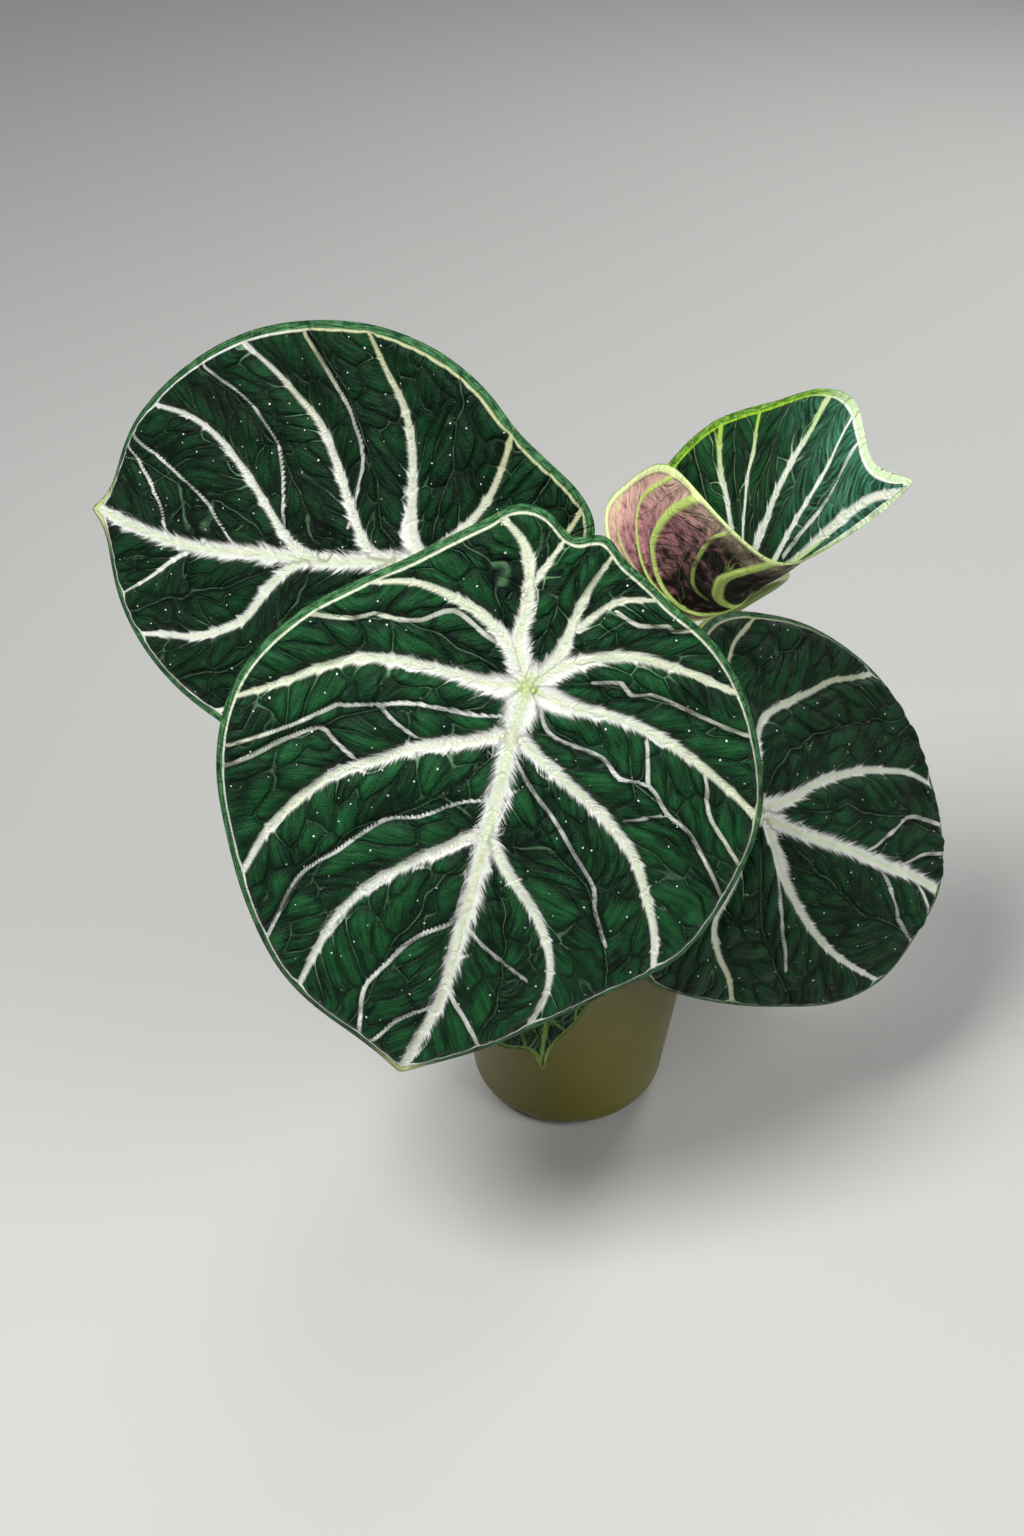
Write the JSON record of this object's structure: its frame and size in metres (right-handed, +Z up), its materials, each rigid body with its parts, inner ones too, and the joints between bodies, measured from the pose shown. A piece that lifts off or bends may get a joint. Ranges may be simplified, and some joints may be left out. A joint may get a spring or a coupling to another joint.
{
  "type": "potted alocasia plant",
  "caption": "Foliage plant with broad shield-shaped leaves on long stalks, one leaf still rolled, growing from soil in a plain tapered pot that stands on its flat foot.",
  "frame": {"origin": "centre of the pot's flat foot", "axes": "+Z up along the pot's axis; the plant's front, where its largest leaf faces, looks along -Y; +X is to the right of a viewer at the front"},
  "size_m": [0.2935, 0.1995, 0.307],
  "materials": {
    "pot_glaze": "smooth satin olive glaze",
    "soil": "damp crumbly potting mix",
    "rootstock": "dry ringed bark",
    "leaf_velvet": "velvety dark green with broad white veins and a purple-brown underside",
    "young_leaf": "tender green with lime veins and a rose-purple underside",
    "stalk": "smooth fleshy green with fine darker streaks",
    "sheath": "dry papery tan with long fibres"
  },
  "bodies": {
    "root": {"pot": "pot_glaze", "potting_soil": "soil", "rootstock": "rootstock", "front_leaf_blade": "leaf_velvet", "left_leaf_blade": "leaf_velvet", "right_leaf_blade": "leaf_velvet", "young_leaf_blade": "young_leaf", "small_leaf_blade": "leaf_velvet", "front_leaf_stalk": "stalk", "left_leaf_stalk": "stalk", "right_leaf_stalk": "stalk", "young_leaf_stalk": "stalk", "small_leaf_stalk": "stalk", "outer_sheath": "sheath", "side_sheath": "sheath", "rear_sheath": "sheath", "old_sheath": "sheath"}
  },
  "joints": []
}
